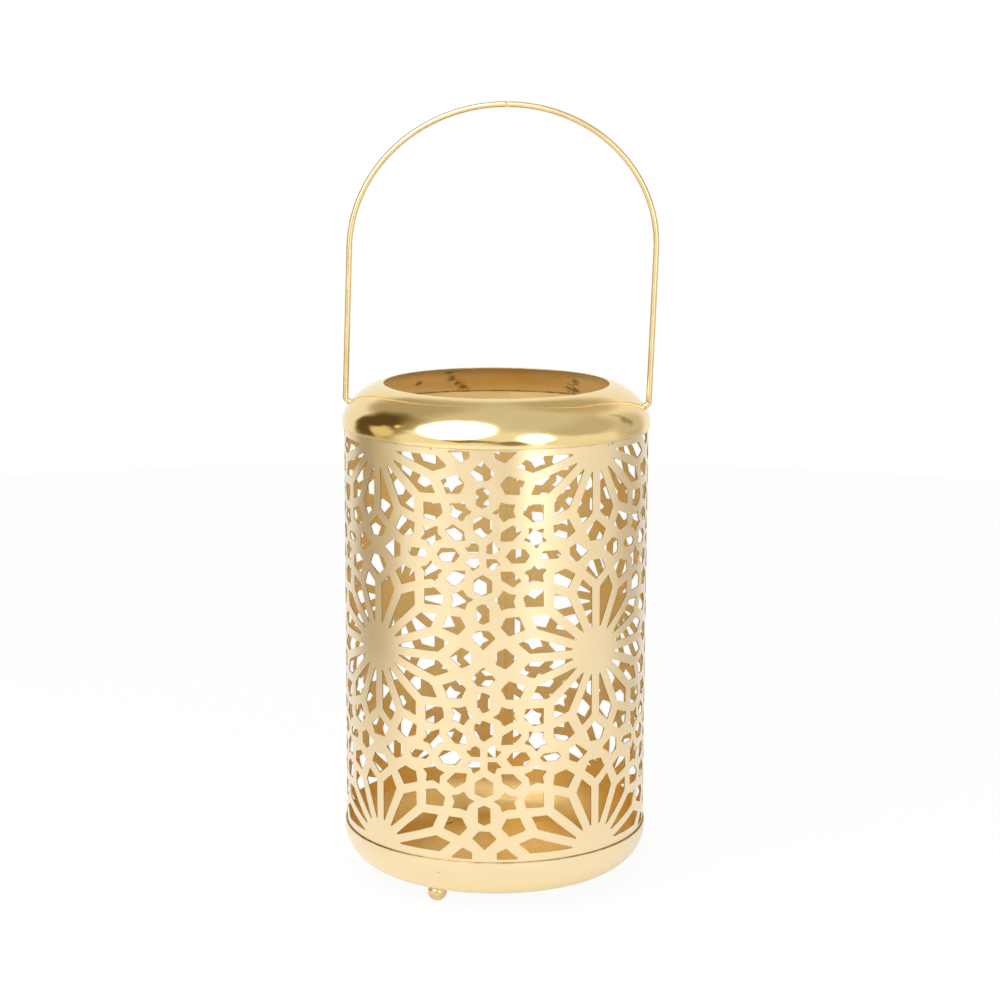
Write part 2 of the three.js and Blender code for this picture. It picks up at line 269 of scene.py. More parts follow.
def bezier(points, steps):
    a, b, c, d = [Vector(p) for p in points]
    curve = []
    for i in range(steps + 1):
        t = i / steps
        s = 1 - t
        curve.append(tuple(s ** 3 * a + 3 * s * s * t * b + 3 * s * t * t * c + t ** 3 * d))
    return curve


def cut_with(obj, cutters):
    """Cuts closed meshes out of an object and leaves it a plain mesh."""
    made = []
    for i, mesh in enumerate(cutters):
        cutter = new_object(f"cutter_{i}", mesh)
        modifier = obj.modifiers.new("cut", "BOOLEAN")
        modifier.operation = "DIFFERENCE"
        modifier.solver = "MANIFOLD"
        modifier.object = cutter
        made.append(cutter)
    settle(obj)
    for cutter in made:
        bpy.data.objects.remove(cutter)


def settle(obj):
    """Applies an object's modifiers."""
    depsgraph = bpy.context.evaluated_depsgraph_get()
    mesh = bpy.data.meshes.new_from_object(obj.evaluated_get(depsgraph))
    obj.modifiers.clear()
    obj.data = mesh


def rod(start, end, radius, sides=32):
    """A closed cylinder between two points."""
    along = Vector(end) - Vector(start)
    turn = along.to_track_quat("Z", "Y").to_matrix().to_4x4()
    bm = bmesh.new()
    bmesh.ops.create_cone(
        bm, cap_ends=True, segments=sides, radius1=radius, radius2=radius, depth=along.length,
        matrix=Matrix.Translation((Vector(start) + Vector(end)) / 2) @ turn)
    return write_back(bm, bpy.data.meshes.new("rod"))


def smooth(mesh, angle=30):
    """Smooth shading, with sharp edges where two faces meet at more than the angle."""
    for polygon in mesh.polygons:
        polygon.use_smooth = True
    mesh.set_sharp_from_angle(angle=math.radians(angle))


def read(items, attribute, width=1, kind=float):
    """One attribute of all a mesh's vertices, faces or corners."""
    values = np.empty(len(items) * width, kind)
    items.foreach_get(attribute, values)
    return values.reshape(-1, width) if width > 1 else values


def shade_from_profile(mesh, profile, limit=0.9):
    """Shades a turned wall from its outline, so that flat steps and cuts don't show."""
    smooth(mesh)
    points = np.array(profile)
    ahead = np.roll(points, -1, axis=0) - points
    lengths = np.linalg.norm(ahead, axis=1)
    ahead /= lengths[:, None]
    out = np.stack([ahead[:, 1], -ahead[:, 0]], axis=1)
    blended = out + np.roll(out, 1, axis=0)
    smooth_start = (out * np.roll(out, 1, axis=0)).sum(axis=1) > SMOOTH_COSINE
    start = np.where(smooth_start[:, None], blended, out)
    end = np.where(np.roll(smooth_start, -1)[:, None], np.roll(blended, -1, axis=0), out)

    # The segment of the outline that each face belongs to
    centres = read(mesh.polygons, "center", 3)
    facing = read(mesh.polygons, "normal", 3)
    flat = np.stack([np.hypot(centres[:, 0], centres[:, 1]), centres[:, 2]], axis=1)
    nearest, gap = np.zeros(len(flat), int), np.full(len(flat), np.inf)
    for i, (point, along) in enumerate(zip(points, ahead)):
        share = np.clip((flat - point) @ along, 0, lengths[i])
        off = np.linalg.norm(point + share[:, None] * along - flat, axis=1)
        closer = off < gap - TINY
        nearest[closer], gap[closer] = i, off[closer]

    # Each corner's normal, blended along its segment
    counts = read(mesh.polygons, "loop_total", kind=int)
    segment = np.repeat(nearest, counts)
    spot = read(mesh.vertices, "co", 3)[read(mesh.loops, "vertex_index", kind=int)]
    radius = np.hypot(spot[:, 0], spot[:, 1])
    here = np.stack([radius, spot[:, 2]], axis=1)
    run = ((here - points[segment]) * ahead[segment]).sum(axis=1)
    share = np.clip(run / lengths[segment], 0, 1)[:, None]
    normal = start[segment] * (1 - share) + end[segment] * share
    normal /= np.linalg.norm(normal, axis=1)[:, None]
    level = spot[:, :2] / np.maximum(radius, TINY)[:, None]
    full = np.concatenate([normal[:, :1] * level, normal[:, 1:]], axis=1)
    matches = (full * np.repeat(facing, counts, axis=0)).sum(axis=1) > limit
    full[~matches] = 0
    mesh.normals_split_custom_set(full.tolist())


def ride_on(obj, body, slot, *nodes):
    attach(obj, body)
    if nodes:
        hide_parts(*nodes)


# Fretwork

DRAWN_WIDTH = 61.6
DRAWN_HEIGHT = 52.5
PETALS = 16
PETAL_TIP = 10.9
PETAL_SHOULDER = 33.2
PETAL_END = 39.1
PETAL_HALF_ANGLE = 7.35
ROSETTE_STRETCH = 1.15


def petal(index):
    axis = (index + 0.5) * 360 / PETALS

    def place(distance, degrees):
        angle = math.radians(degrees)
        return (ROSETTE_STRETCH * distance * math.cos(angle), distance * math.sin(angle))

    return [
        place(PETAL_TIP, axis),
        place(PETAL_SHOULDER, axis - PETAL_HALF_ANGLE),
        place(PETAL_END, axis),
        place(PETAL_SHOULDER, axis + PETAL_HALF_ANGLE),
    ]


# Openings drawn for one quarter of a repeat, in millimetres from the rosette's middle
INSIDE_QUARTER = [
    # five-sided cells round the rosette
    [(18.3, 45), (13.1, 41.5), (17.2, 34.7), (25.6, 37.6), (24.9, 42.9)],
    [(36.4, 35.5), (30.8, 34.6), (30.7, 26.3), (40.1, 26.4), (41.4, 31.3)],
    [(50.2, 21.1), (43.3, 21.5), (40.3, 14.7), (48.7, 11.5), (52.8, 16)],
    # kite between the stars
    [(52.9, 44.9), (46.8, 44.8), (42.1, 40), (46.4, 36.6), (52.2, 40.2)],
    # dart beside the line midway between two rosettes
    [(52.4, 48.2), (54.9, 47.9), (56.2, 44.8), (59.7, 47), (59.7, 51.2), (55, 51.2)],
    # five-pointed stars
    [(34.5, 49.2), (32.5, 46.2), (28.8, 45.4), (31.3, 42.6), (30.5, 38.6),
     (34.6, 39.6), (38.4, 37.9), (38.6, 42.1), (41.2, 44.4), (37, 46)],
    [(51.3, 35.2), (48.2, 33.4), (44.8, 32.8), (46.3, 29.5), (44.9, 26.1),
     (49.3, 26), (52.5, 24.9), (53.7, 28.3), (57.1, 30.4), (53.6, 31.9)],
]

ACROSS_UPRIGHT = [
    [(0, 37.1), (6.7, 42.4), (4, 47.5), (-4, 47.5), (-6.7, 42.4)],
]

ACROSS_LEVEL = [
    [(44.2, 0), (50.4, -5.5), (55.3, -3), (55.3, 3), (50.4, 5.5)],
]

# Drawn from the upright line midway between two rosettes
ACROSS_MID_UPRIGHT = [
    [(0, 32.2), (4.7, 34.2), (4.7, 40.2), (0, 43.2), (-4.7, 40.2), (-4.7, 34.2)],
    [(0, 17.5), (3.2, 19), (3.2, 26.7), (0, 28.3), (-3.2, 26.7), (-3.2, 19)],
    [(0, 4.4), (6.3, 10.6), (2.8, 14.4), (-2.8, 14.4), (-6.3, 10.6)],
]

# Drawn from the level line midway between two rosettes
ACROSS_MID_LEVEL = [
    [(5, 0), (12, -4.9), (16.4, -2.9), (16.4, 2.9), (12, 4.9)],
    [(21.2, 0), (23.2, -2.2), (30.8, -2.2), (32.8, 0), (30.8, 2.2), (23.2, 2.2)],
    [(37.8, 0), (40.3, -3.6), (47.2, -3.6), (50.1, 0), (47.2, 3.6), (40.3, 3.6)],
]


def repeat_mesh():
    """The openings of one whole repeat as flat faces, in drawn millimetres round the rosette."""
    quarter = [petal(i) for i in range(PETALS // 4)] + INSIDE_QUARTER
    copies = [(quarter, flip_x, flip_y, 0, 0) for flip_x in (-1, 1) for flip_y in (-1, 1)]
    for side in (-1, 1):
        copies += [
            (ACROSS_UPRIGHT, 1, side, 0, 0),
            (ACROSS_LEVEL, side, 1, 0, 0),
            (ACROSS_MID_UPRIGHT, 1, side, DRAWN_WIDTH, 0),
            (ACROSS_MID_LEVEL, side, 1, 0, DRAWN_HEIGHT),
        ]
    verts, faces = [], []
    for outlines, flip_x, flip_y, move_x, move_y in copies:
        for outline in outlines:
            ring = [(flip_x * x + move_x, flip_y * y + move_y, 0) for x, y in outline]
            area = sum(a[0] * b[1] - b[0] * a[1] for a, b in zip(ring, ring[1:] + ring[:1]))
            faces.append(list(range(len(verts), len(verts) + len(ring))))
            verts += ring if area > 0 else ring[::-1]
    return mesh_from("fret_repeat", verts, faces)


class Nodes:
    """A node tree under construction."""

    def __init__(self, tree):
        self.tree = tree

    def feed(self, socket, value):
        """Links or sets a socket. A node stands for its first output."""
        if isinstance(value, bpy.types.Node):
            value = value.outputs[0]
        if isinstance(value, bpy.types.NodeSocket):
            self.tree.links.new(value, socket)
        else:
            socket.default_value = value

    def node(self, kind, inputs=(), **settings):
        node = self.tree.nodes.new(kind)
        for key, value in settings.items():
            setattr(node, key, value)
        for key, value in dict(inputs).items():
            self.feed(node.inputs[key], value)
        return node

    def math(self, operation, a, b=0.0):
        return self.node("ShaderNodeMath", {0: a, 1: b}, operation=operation).outputs[0]

    def plus(self, a, b):
        return self.math("ADD", a, b)

    def minus(self, a, b):
        return self.math("SUBTRACT", a, b)

    def times(self, a, b):
        return self.math("MULTIPLY", a, b)

    def over(self, a, b):
        return self.math("DIVIDE", a, b)

    def vector(self, x=0.0, y=0.0, z=0.0):
        return self.node("ShaderNodeCombineXYZ", {"X": x, "Y": y, "Z": z}).outputs[0]

    def split(self, vector):
        return self.node("ShaderNodeSeparateXYZ", {"Vector": vector}).outputs

    def arrow(self, operation, a, b=(0, 0, 0), output=0):
        """Arithmetic on vectors."""
        return self.node("ShaderNodeVectorMath", {0: a, 1: b}, operation=operation).outputs[output]

    def ramp(self, value, low, high, to_low=0.0, to_high=1.0):
        return self.node("ShaderNodeMapRange", {
            "Value": value, "From Min": low, "From Max": high,
            "To Min": to_low, "To Max": to_high}, interpolation_type="SMOOTHSTEP").outputs["Result"]

    def mix(self, factor, before, after):
        inputs = {"Factor": factor, 6: before, 7: after}
        return self.node("ShaderNodeMix", inputs, data_type="RGBA").outputs[2]


class Tree(Nodes):
    """A Geometry Nodes tree under construction."""

    def __init__(self, name):
        super().__init__(bpy.data.node_groups.new(name, "GeometryNodeTree"))
        for way in ("INPUT", "OUTPUT"):
            self.tree.interface.new_socket("Geometry", in_out=way, socket_type="NodeSocketGeometry")
        self.group_in = self.node("NodeGroupInput")
        self.group_out = self.node("NodeGroupOutput")
        self.values = {}

    def input(self, name, value):
        kind = {int: "Int", float: "Float"}.get(type(value), "Material")
        socket = self.tree.interface.new_socket(
            name, in_out="INPUT", socket_type=f"NodeSocket{kind}")
        self.values[socket.identifier] = value
        return self.group_in.outputs[name]

    def geo(self, kind, inputs=(), **settings):
        return self.node("GeometryNode" + kind, inputs, **settings)

    def finish(self, obj, geometry):
        """Ends the tree and turns its result into the object's plain mesh."""
        material = self.input("Material", obj.data.materials[0])
        real = self.geo("RealizeInstances", {"Geometry": geometry})
        done = self.geo("SetMaterial", {"Geometry": real, "Material": material})
        self.feed(self.group_out.inputs[0], done)
        modifier = obj.modifiers.new("build", "NODES")
        modifier.node_group = self.tree
        for identifier, value in self.values.items():
            modifier[identifier] = value
        settle(obj)


def roll(tree, geometry, radius):
    """Rolls flat geometry round Z. X runs round from the front, Y up, Z off the sleeve."""
    x, height, off = tree.split(tree.geo("InputPosition"))
    angle = tree.over(x, radius)
    reach = tree.plus(off, radius)
    place = tree.vector(
        tree.times(reach, tree.math("SINE", angle)),
        tree.times(tree.times(reach, tree.math("COSINE", angle)), -1.0),
        height)
    return tree.geo("SetPosition", {"Geometry": geometry, "Position": place})


def flat_block(tree, width, height, thickness, x_steps, middle_y, middle_z):
    """A flat block whose wide side lies in X and Y."""
    size = tree.vector(width, height, thickness)
    block = tree.geo("MeshCube", {"Size": size, "Vertices X": x_steps})
    shift = tree.vector(0.0, middle_y, middle_z)
    return tree.geo("Transform", {"Geometry": block, "Translation": shift})


def fretwork_tree():
    s = sizes()
    round_length = 2 * math.pi * SLEEVE_RADIUS
    cell = (round_length - s.seam_margins) / (2 * s.columns)
    pitch = (SLEEVE_SHOWS - s.first_row - s.last_row) / s.row_pitches
    window_low = PAN_RIM + s.edge_below
    window_high = CAP_EDGE - s.edge_above

    tree = Tree("Fretwork")
    radius = tree.input("Sleeve radius", SLEEVE_RADIUS)
    sheet = tree.input("Sheet", s.sheet)
    corner = tree.input("Corner radius", s.corner)
    corner_steps = tree.input("Corner steps", 3)
    columns = tree.input("Columns", s.columns)
    rows = tree.input("Rows", s.row_pitches + 1)
    cell_width = tree.input("Repeat width", 2 * cell)
    cell_height = tree.input("Repeat height", pitch)
    first_row = tree.input("First row height", PAN_RIM + s.first_row)
    bottom = tree.input("Bottom", SLEEVE_LOW.z)
    top = tree.input("Top", SLEEVE_HIGH.z)
    pierced_low = tree.input("Pierced from", window_low)
    pierced_high = tree.input("Pierced to", window_high)
    pierced_width = tree.input("Pierced width", round_length - s.seam_margins)
    sheet_width = tree.input("Sheet width", round_length - s.seam_gap)
    facets = tree.input("Facets", s.facets)
    reach = tree.input("Cutter reach", 5 * MM)
    lean = tree.input("Pattern lean", s.lean)
    upright = tree.input("Height without lean", PAN_RIM + 0.7 * SLEEVE_SHOWS)

    # One repeat: the drawn openings fitted to the sleeve, their corners rounded
    scale_x = tree.over(cell_width, 2 * DRAWN_WIDTH)
    scale_y = tree.over(cell_height, 2 * DRAWN_HEIGHT)
    fitted = tree.geo("Transform", {
        "Geometry": tree.group_in, "Scale": tree.vector(scale_x, scale_y, 1.0)})
    outline = tree.geo("MeshToCurve", {"Mesh": fitted})
    rounded = tree.geo("FilletCurve", {
        "Curve": outline, "Count": corner_steps, "Radius": corner,
        "Limit Radius": True}, mode="POLY")
    filled = tree.geo("FillCurve", {"Curve": rounded}, mode="NGONS")

    # The repeat stood on every place of the grid, with one more column and row all round
    grid = tree.geo("MeshGrid", {
        "Size X": tree.times(cell_width, tree.plus(columns, 1.0)),
        "Size Y": tree.times(cell_height, tree.plus(rows, 1.0)),
        "Vertices X": tree.plus(columns, 2.0),
        "Vertices Y": tree.plus(rows, 2.0)})
    half_rows = tree.over(tree.minus(rows, 1.0), 2.0)
    rise = tree.plus(first_row, tree.times(half_rows, cell_height))
    placed = tree.geo("Transform", {
        "Geometry": grid,
        "Translation": tree.vector(0.0, rise, tree.times(reach, -1.0))})
    copies = tree.geo("InstanceOnPoints", {"Points": placed, "Instance": filled})
    real = tree.geo("RealizeInstances", {"Geometry": copies})

    # Each opening becomes a closed block that stands through the sheet
    pushed = tree.geo("ExtrudeMesh", {
        "Mesh": real,
        "Offset": tree.vector(z=tree.times(reach, 2.0)),
        "Offset Scale": 1.0, "Individual": False}, mode="FACES")
    under = tree.geo("FlipFaces", {"Mesh": real})
    both = tree.geo("JoinGeometry")
    tree.feed(both.inputs[0], pushed)
    tree.feed(both.inputs[0], under)
    closed = tree.geo("MergeByDistance", {"Geometry": both, "Distance": 1e-6})

    # Only what lies inside the pierced field is cut, clipped while the sheet is still flat
    field_middle = tree.over(tree.plus(pierced_low, pierced_high), 2.0)
    field = flat_block(
        tree, pierced_width, tree.minus(pierced_high, pierced_low),
        tree.times(reach, 1.2), 2, field_middle, 0.0)
    clipped = tree.geo("MeshBoolean", operation="INTERSECT", solver="MANIFOLD")
    for part in (closed, field):
        tree.feed(clipped.inputs["Mesh 2"], part)
    height = tree.split(tree.geo("InputPosition"))["Y"]
    leaning = tree.geo("SetPosition", {
        "Geometry": clipped,
        "Offset": tree.vector(tree.times(lean, tree.minus(upright, height)))})
    cutters = roll(tree, leaning, radius)

    blank_middle = tree.over(tree.plus(bottom, top), 2.0)
    blank = roll(tree, flat_block(
        tree, sheet_width, tree.minus(top, bottom), sheet, facets,
        blank_middle, tree.times(sheet, -0.5)), radius)
    pierced = tree.geo("MeshBoolean", operation="DIFFERENCE", solver="MANIFOLD")
    tree.feed(pierced.inputs["Mesh 1"], blank)
    tree.feed(pierced.inputs["Mesh 2"], cutters)
    return tree, pierced


# Finishes

class Finish(Nodes):
    """A procedural metal under construction."""

    def __init__(self, name, colour):
        self.material = bpy.data.materials.new(name)
        self.material.use_nodes = True
        super().__init__(self.material.node_tree)
        self.shader = self.tree.nodes["Principled BSDF"]
        self.colour = (*colour, 1)
        self.set("Metallic", 1.0)
        self.set("Base Color", self.colour)
        self.place = self.node("ShaderNodeTexCoord").outputs["Object"]

    def set(self, socket, value):
        self.feed(self.shader.inputs[socket], value)

    def noise(self, scale, detail=3.0, vector=None, distortion=0.0):
        return self.node("ShaderNodeTexNoise", {
            "Vector": vector or self.place, "Scale": scale, "Detail": detail,
            "Distortion": distortion}).outputs["Fac"]

    def round_axis(self, per_turn, across):
        """Runs round the lantern's middle line, so that a noise on it draws fine rings."""
        x, y, z = self.split(self.place)
        angle = self.math("ARCTAN2", x, self.times(y, -1.0))
        radius = self.times(self.level(x, y), across)
        return self.vector(self.times(angle, per_turn), radius, self.times(z, across))

    def level(self, x, y):
        """Distance from the middle line."""
        return self.math("SQRT", self.plus(self.times(x, x), self.times(y, y)))

    def height(self):
        return self.split(self.place)["Z"]

    def tint(self, factor, colour):
        """Lays a second colour over the metal where the factor is high."""
        self.colour = self.mix(factor, self.colour, (*colour, 1))
        self.set("Base Color", self.colour)

    def mottle(self, scale, detail, low, high, most, colour):
        """Lays a second colour over the metal in soft spots."""
        self.tint(self.ramp(self.noise(scale, detail), low, high, 0.0, most), colour)

    def roughen(self, value, smoothest, roughest, low=0.3, high=0.7):
        self.set("Roughness", self.ramp(value, low, high, smoothest, roughest))

    def bump(self, *layers):
        """Stacks heights of (value, depth in millimetres)."""
        normal = None
        for value, depth in layers:
            bump = self.node("ShaderNodeBump", {
                "Height": value, "Strength": 1.0, "Distance": depth * MM})
            if normal:
                self.feed(bump.inputs["Normal"], normal)
            normal = bump
        self.set("Normal", normal)

    def joint_and_shade_line(self, height, reach, depth):
        """A broken dark line round the lantern at one height where two sheets meet: partly dark
        joint, partly painted shade of the gap.
        """
        gap = self.math("ABSOLUTE", self.minus(self.height(), height))
        close = self.ramp(gap, reach, 0.2 * reach)
        broken = self.ramp(self.noise(160.0, 4.0), 0.38, 0.62, 0.45, 1.0)
        return self.times(self.times(close, broken), depth)

    def near(self, places):
        """1 at each place, falling to 0 at its own reach."""
        field = None
        for x, y, z, reach in places:
            gap = self.arrow("DISTANCE", self.place, (x * MM, y * MM, z * MM), "Value")
            close = self.ramp(gap, reach * MM, 0.0)
            field = close if field is None else self.math("MAXIMUM", field, close)
        return field


def darker(colour, share):
    return tuple(c * share for c in colour)


def satin_finish():
    satin, stain_and_shade = colours().satin, colours().stain_and_shade
    finish = Finish("satin_gold_outside", satin)
    finish.set("Coat Weight", 1.0)
    finish.set("Coat Roughness", 0.26)
    finish.set("Coat IOR", 1.75)
    finish.mottle(9.0, 4.0, 0.35, 0.75, 0.30, darker(satin, 0.93))
    lower = finish.ramp(finish.height(), PAN_RIM - 6 * MM, PAN_BOTTOM + 4 * MM)
    finish.tint(lower, tuple(c * s for c, s in zip(satin, (1.0, 0.98, 0.78))))
    finish.mottle(420.0, 1.0, 0.80, 0.84, 0.4, darker(satin, 0.6))
    # Painted shade of the gap under the cap's edge, with some dark joint, as a dark line on the
    # sleeve
    finish.tint(finish.joint_and_shade_line(CAP_EDGE - 0.1 * MM, 0.6 * MM, 0.5), darker(stain_and_shade, 1.5))
    # Painted shade of the gap at the pan's rim, as a dark line on the sleeve and the rim
    finish.tint(finish.joint_and_shade_line(PAN_RIM, 0.55 * MM, 0.6), darker(stain_and_shade, 1.8))
    finish.tint(finish.times(finish.near(SPECKS), 0.8), darker(stain_and_shade, 1.5))
    finish.roughen(finish.noise(60.0, 5.0), 0.29, 0.36)
    finish.bump((finish.noise(1400.0, 2.0), 0.004), (finish.noise(28.0, 2.0), 0.25))
    return finish.material


def mirror_finish():
    mirror = colours().mirror
    finish = Finish("mirror_brass_outside", mirror)
    rings = finish.noise(1.0, 3.0, finish.round_axis(1.5, 900.0))
    finish.roughen(finish.noise(45.0, 6.0), 0.09, 0.15, 0.35, 0.75)
    finish.mottle(14.0, 4.0, 0.4, 0.8, 0.3, darker(mirror, 0.93))
    # Painted shade of the gap at the cap's lower edge, with some dirt in the joint, as a dark line
    finish.tint(finish.joint_and_shade_line(CAP_EDGE, 0.5 * MM, 0.3), darker(colours().stain_and_shade, 2))
    finish.bump((rings, 0.0004), (finish.noise(22.0, 2.0), 0.45), (finish.noise(90.0, 2.0), 0.03))
    return finish.material


def inside_finish(stains=()):
    inside, stain_and_shade = colours().inside, colours().stain_and_shade
    finish = Finish("brushed_inside", inside)
    rings = finish.noise(1.0, 4.0, finish.round_axis(2.5, 700.0), 0.4)
    finish.tint(finish.ramp(rings, 0.3, 0.75, 0.0, 0.14), darker(inside, 0.8))
    finish.mottle(35.0, 5.0, 0.5, 0.8, 0.35, darker(inside, 0.72))
    if stains:
        upper = finish.ramp(finish.height(), CAP_TOP - 8 * MM, CAP_TOP - 1 * MM, 0.0, 0.7)
        finish.tint(upper, darker(inside, 0.55))
        ragged = finish.noise(380.0, 6.0)
        burnt = finish.plus(finish.times(finish.near(stains), 0.42), ragged)
        finish.tint(finish.ramp(burnt, 0.68, 0.98, 0.0, 0.75), darker(stain_and_shade, 1.5))
        # Painted shade of the sleeve's top edge, as a dark line on the cap's inside just above it
        finish.tint(finish.joint_and_shade_line(SLEEVE_HIGH.z + 0.3 * MM, 0.8 * MM, 0.8), stain_and_shade)
    finish.roughen(rings, 0.34, 0.5)
    finish.bump((rings, 0.006), (finish.noise(240.0, 3.0), 0.02))
    return finish.material


# Plain metals: colour and its share, spots and their share, roughness, dents.
# Spots, roughness and dents each begin with the scale and the detail of their own noise.
PLAIN_FINISHES = {
    # The cut walls: darker than the inside, partly the raw cut brass and partly painted shade of
    # the thin walls
    "cut_edge": (
        "inside", 0.6, (300.0, 3.0, 0.4, 0.7, 0.5), 0.4, (600.0, 3.0, 0.4, 0.6),
        (2500.0, 2.0, 0.01)),
    "drawn_wire": (
        "wire", 1, (70.0, 2.0, 0.4, 0.75, 0.45), 0.8, (60.0, 2.0, 0.26, 0.36),
        (30.0, 1.0, 0.05)),
    "bright_brass": (
        "wire", 1, (60.0, 3.0, 0.45, 0.8, 0.5), 0.75, (50.0, 3.0, 0.12, 0.22),
        (40.0, 2.0, 0.05)),
    "brazed_seam": (
        "inside", 0.95, (300.0, 4.0, 0.5, 0.8, 0.5), 0.7, (700.0, 3.0, 0.35, 0.55),
        (500.0, 3.0, 0.03)),
}


def plain_finish(name):
    """A metal with soft spots, an uneven roughness and shallow dents."""
    group, share, spots, spot_share, rough, dents = PLAIN_FINISHES[name]
    colour = getattr(colours(), group)
    finish = Finish(name, darker(colour, share))
    finish.mottle(*spots, darker(colour, spot_share))
    finish.roughen(finish.noise(*rough[:2]), *rough[2:])
    finish.bump((finish.noise(*dents[:2]), dents[2]))
    return finish.material


def outward(centre, normal):
    """How far a face looks away from the middle line, from -1 to 1."""
    level = Vector((centre.x, centre.y, 0))
    return normal.dot(level / max(math.hypot(centre.x, centre.y), TINY))


def coat(mesh, finishes, pick):
    """Gives each face of a wall the finish picked by the face's middle and normal."""
    mesh.materials.clear()
    for material in finishes:
        mesh.materials.append(material)
    for polygon in mesh.polygons:
        polygon.material_index = pick(polygon.center, polygon.normal)


# Pieces

def shell_walls(outside, thickness, edge):
    """The closed outline of a pressed sheet from its outside, with softened edges."""
    inside = offset_profile(outside, thickness)[::-1]
    if outside[0][0] == 0:
        inside[-1] = (0, inside[-1][1])
    return soften(outside + inside, edge)


def soften(points, radius, steps=4):
    """Rounds the sharp corners of a closed outline."""
    softened = []
    count = len(points)
    for i, point in enumerate(points):
        here = Vector(point)
        before, after = Vector(points[i - 1]), Vector(points[(i + 1) % count])
        into, out = (here - before).normalized(), (after - here).normalized()
        if here.x == 0 or into.dot(out) > 0.7:
            softened.append(tuple(here))
            continue
        reach = min(radius, (here - before).length * 0.45, (after - here).length * 0.45)
        for k in range(steps + 1):
            t = k / steps
            a, b = here - into * reach, here + out * reach
            softened.append(tuple((1 - t) ** 2 * a + 2 * t * (1 - t) * here + t * t * b))
    return softened


class LANTERN_OT_sleeve(bpy.types.Operator):
    """Pierce, roll and shade the sleeve"""
    bl_idname = "lantern.sleeve"
    bl_label = "Pierced sleeve"

    def execute(self, context):
        def pick(centre, normal):
            facing = outward(centre, normal)
            return 2 if abs(facing) < WALL_COSINE else 0 if facing > 0 else 1

        mesh = repeat_mesh()
        satin = satin_finish()
        mesh.materials.append(satin)
        sleeve = new_object("fret_sleeve", mesh)
        tree, pierced = fretwork_tree()
        tree.finish(sleeve, pierced)
        if not sleeve.data.polygons:
            raise RuntimeError("the fretwork came out empty")
        low, high = SLEEVE_LOW.z, SLEEVE_HIGH.z
        inner = SLEEVE_RADIUS - sizes().sheet
        wall = [(SLEEVE_RADIUS, low), (SLEEVE_RADIUS, high), (inner, high), (inner, low)]
        # The cut walls get the darker cut-edge finish, which is partly painted shade
        coat(sleeve.data, (satin, inside_finish(), plain_finish("cut_edge")), pick)
        shade_from_profile(sleeve.data, wall)
        ride_on(sleeve, "lantern", "satin_gold", "pierced_sleeve")
        return {"FINISHED"}


class LANTERN_OT_cap(bpy.types.Operator):
    """Press the cap with its mouth and the two holes for the bail"""
    bl_idname = "lantern.cap"
    bl_label = "Cap"

    def execute(self, context):
        s = sizes()
        shoulder = bezier([
            (SHELL_RADIUS, CAP_EDGE + s.cap_skirt),
            (SHELL_RADIUS, CAP_EDGE + s.cap_skirt + s.cap_bulge),
            (s.mouth_radius + s.cap_brow, CAP_TOP - s.cap_fall),
            (s.mouth_radius, CAP_TOP),
        ], SHOULDER_STEPS)
        profile = shell_walls([(SHELL_RADIUS, CAP_EDGE), *shoulder], s.sheet, SHEET_EDGE)
        cap = new_object("cap_shell", turned_mesh("cap_shell", profile, SHELL_STEPS))
        reach = Vector((2 * SHELL_RADIUS, 0, 0))
        cut_with(cap, [rod(PIVOT - reach, PIVOT + reach, s.wire_hole / 2)])

        def pick(centre, normal):
            at_mouth = math.hypot(centre.x, centre.y) < s.mouth_radius + MOUTH_MARGIN
            return 2 if at_mouth else 0 if outward(centre, normal) > 0 else 1

        # The mouth's cut face gets the darker cut-edge finish, which is partly painted shade
        finishes = mirror_finish(), inside_finish(STAINS), plain_finish("cut_edge")
        coat(cap.data, finishes, pick)
        shade_from_profile(cap.data, profile)
        ride_on(cap, "lantern", "mirror_brass", "top_cap")
        return {"FINISHED"}


class LANTERN_OT_pan(bpy.types.Operator):
    """Press the pan and drill it for the foot screws"""
    bl_idname = "lantern.pan"
    bl_label = "Pan"

    def execute(self, context):
        s = sizes()
        depth = PAN_RIM - PAN_BOTTOM - s.pan_skirt
        corner = SHELL_RADIUS - s.pan_floor
        outside = [(0, PAN_BOTTOM)]
        for turn in reversed(quarter(CORNER_STEPS)):
            outside.append((
                s.pan_floor + corner * math.cos(turn), PAN_BOTTOM + depth * (1 - math.sin(turn))))
        outside.append((SHELL_RADIUS, PAN_RIM))
        profile = shell_walls(outside, s.sheet, SHEET_EDGE)
        pan = new_object("pan_shell", turned_mesh("pan_shell", profile, SHELL_STEPS))
        drills = []
        for node in SCREWS:
            place = middle(node)
            foot = Vector((place.x, place.y, PAN_BOTTOM))
            reach = Vector((0, 0, DRILL_REACH))
            drills.append(rod(foot - reach, foot + reach, s.screw / 2 + SHANK_PLAY))
        cut_with(pan, drills)

        def pick(centre, normal):
            under = centre.z < PAN_BOTTOM + s.sheet / 2 or normal.z < -0.01
            beside = math.hypot(centre.x, centre.y) > SHELL_RADIUS - s.sheet / 2
            return 0 if under or beside and normal.dot(centre) > 0 else 1

        coat(pan.data, (satin_finish(), inside_finish()), pick)
        shade_from_profile(pan.data, profile)
        ride_on(pan, "lantern", "satin_gold", "base_pan")
        return {"FINISHED"}


def base_object(name, mesh, material):
    mesh.materials.clear()
    mesh.materials.append(material)
    return new_object(name, mesh)


